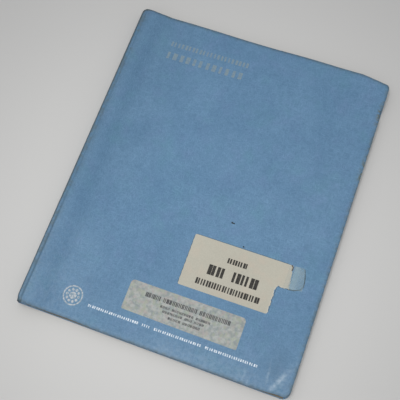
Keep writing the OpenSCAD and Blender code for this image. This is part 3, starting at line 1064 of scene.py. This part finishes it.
# Painted shadow along the label's right side and under its arm.
dirt_line(mesh, [(75.4, 22.2), (74.9, 16), (74.9, 8), (74.8, 1.4)], 0.40)
dirt_line(mesh, [(75.6, 23.6), (80, 23.8), (84.1, 23.9)], 0.40)
turn_with_label(mesh)
on_cover(mesh, mark_lift, mark_thickness)
finished(mesh, "label_edge_dirt_and_shadow", [edge_lines_dirt_and_shadow], "front")

mesh = bmesh.new()
dirt_line(mesh, [(81.5, 43.4), (82.7, 42.2), (82.8, 40.6), (82.5, 39.4)], 0.9)
turn_with_label(mesh)
on_cover(mesh, label_thickness + tape_thickness, mark_thickness)
finished(mesh, "label_gum_spot", [gum_brown], "front")


# --------------------------------------------------
# Nicks. Two small scratches have gone through the board's blue surface and
# filled with dirt; each is a thin dark sliver lying in the cover's face.
mesh = bmesh.new()
for x, y, length, width, turn in ((142.9, 117.8, 2.6, 1.2, 0.1), (141.7, 118.0, 1.5, 1.6, 0.1),
                                  (156.9, 101.9, 1.4, 1.2, 0.3), (158.1, 101.3, 1.2, 0.4, 0.3)):
    corners = bmesh.ops.create_circle(mesh, cap_ends=True, radius=0.5, segments=8)["verts"]
    bmesh.ops.scale(mesh, verts=corners, vec=(length * mm, width * mm, 1))
    bmesh.ops.rotate(mesh, verts=corners, matrix=Matrix.Rotation(turn, 3, "Z"))
    bmesh.ops.translate(mesh, verts=corners, vec=(spine_x + x * mm, tail + y * mm, 0))
on_cover(mesh, mark_lift, 0.01 * mm)
nick_dirt = two_tone_material("nick_dirt", 0.8, 800, (0.022, 0.034, 0.042, 1),
                              (0.050, 0.072, 0.085, 1), 0.2)
finished(mesh, "cover_nicks", [nick_dirt], "front")


# --------------------------------------------------
# Property sticker. Metallised film with rounded corners, gone dull and mottled;
# a keeper's sticker with four printed rows, shown here as plain bars.
sticker_film, tree, shader = new_material("metallised_sticker", 0.48, metallic=0.25)
mottle = spread(tree, object_noise(tree, 330, 4), 0.38, 0.62)
colour = mix_colour(tree, mottle, (0.186, 0.218, 0.224, 1), (0.305, 0.325, 0.316, 1))
# Tarnish, then rosy and mossy blotches: scale, turn, start, end, strength, tint.
for scale, turn, start, end, strength, tint in (
        (120, 0.9, 0.52, 0.72, 0.5, (0.300, 0.292, 0.250, 1)),
        (290, 2.3, 0.50, 0.64, 0.55, (0.300, 0.262, 0.256, 1)),
        (310, 1.2, 0.50, 0.64, 0.6, (0.245, 0.285, 0.218, 1))):
    blotches = spread(tree, object_noise(tree, scale, 3, turn=turn), start, end, 0, strength)
    colour = mix_colour(tree, blotches, colour, tint)
tree.links.new(colour, shader.inputs["Base Color"])
bump(tree, shader, object_noise(tree, 800, 4), 0.07 * mm, 0.6)

sticker_low, sticker_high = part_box("property_sticker")
lower_edge_slant = 0.45 * mm
mesh = bmesh.new()
lined_grid(mesh, even(sticker_low[0], sticker_high[0], 96),
           even(sticker_low[1], sticker_high[1], 24))
for vert in mesh.verts:
    for radius, corners in ((3.2 * mm, ((-1, 1), (1, 1))), (1.2 * mm, ((-1, -1), (1, -1)))):
        soften_corner(vert, sticker_low, sticker_high, radius, corners)
    lower = (sticker_high[1] - vert.co.y) / (sticker_high[1] - sticker_low[1])
    right = (vert.co.x - sticker_low[0]) / (sticker_high[0] - sticker_low[0])
    vert.co.y -= lower_edge_slant * lower * (2 * right - 1)
on_cover(mesh, 0.0, label_thickness)
sticker = finished(mesh, "sticker_film", [sticker_film], "front")
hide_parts("property_sticker")

mesh = bmesh.new()
printed_rows(mesh, sticker_low, "sticker", ((14.6, 15.7, 71.5, 3.7, (5, 11, 10), 0.34),
                                            (29.0, 11.3, 42.0, 1.9, (4, 9, 6), 0.32),
                                            (32.0, 8.0, 35.0, 1.9, (8, 3, 4), 0.32),
                                            (38.0, 4.3, 27.0, 2.0, (5, 7), 0.32)))
on_cover(mesh, label_thickness + print_lift, ink_film)
sticker_ink = two_tone_material("faded_ink", 0.6, 300, (0.040, 0.044, 0.048, 1),
                                (0.090, 0.094, 0.094, 1))
finished(mesh, "sticker_print", [sticker_ink], "front")


# --------------------------------------------------
# Table, light and camera. A pale table, with a pool of light painted on it, under one large soft
# light, seen from above the fore-edge with the tail of the manual towards the viewer.
table_painted_light, tree, shader = new_material("table_top", 0.6)
colour = (0.608, 0.608, 0.600, 1)
# Painted light pool: the table darkens away from two places: x, y, start, end, tint.
for x, y, start, end, tint in ((-0.02, -0.14, 0.06, 0.36, (0.950, 0.950, 0.953, 1)),
                               (-0.01, 0.01, 0.15, 0.27, (0.940, 0.940, 0.940, 1))):
    place = add_node(tree, "ShaderNodeTexCoord").outputs["Object"]
    away = add_node(tree, "ShaderNodeVectorMath", [(0, place)], operation="DISTANCE")
    away.inputs[1].default_value = (x, y, 0)
    reach = spread(tree, away.outputs["Value"], start, end)
    shade = mix_colour(tree, reach, (1.0, 1.0, 1.0, 1), tint)
    colour = mix_colour(tree, 1.0, colour, shade, "MULTIPLY")
tree.links.new(colour, shader.inputs["Base Color"])
mesh = bmesh.new()
bmesh.ops.create_grid(mesh, x_segments=1, y_segments=1, size=6)
placed("table", as_data(mesh, "table", [table_painted_light]))

world = bpy.data.worlds.new("room")
world.use_nodes = True
sky = world.node_tree
direction = add_node(sky, "ShaderNodeSeparateXYZ",
                     [(0, add_node(sky, "ShaderNodeTexCoord").outputs["Generated"])])
overhead = spread(sky, direction.outputs[2], 0.0, 1.0, 0.28, 0.74)
sky.nodes["Background"].inputs[0].default_value = (0.98, 0.985, 1.0, 1)
sky.links.new(overhead, sky.nodes["Background"].inputs[1])
bpy.context.scene.world = world


def aimed(name, data, place, target):
    thing = placed(name, data)
    thing.location = place
    thing.rotation_euler = (target - place).to_track_quat("-Z", "Y").to_euler()
    return thing


lamp = bpy.data.lights.new("lamp", "SPOT")
lamp.energy = 37
lamp.color = (1.0, 0.985, 0.96)
lamp.shadow_soft_size = 0.35
lamp.spot_size = math.radians(42)
lamp.spot_blend = 1.0
aimed("lamp", lamp, Vector((-0.11, -0.13, 1.2)), Vector((-0.012, -0.068, 0)))

camera_roll = math.radians(-10.43)
camera = bpy.data.cameras.new("camera")
camera.lens = 70.88
camera.sensor_width = 36
camera.clip_start = 0.01
viewer = aimed("camera", camera, Vector((0.1014, -0.1941, 0.6190)),
               Vector((-0.0052, -0.0102, 0.0)))
viewer.rotation_euler.rotate_axis("Z", camera_roll)
bpy.context.scene.camera = viewer
bpy.context.scene.view_settings.view_transform = "Standard"
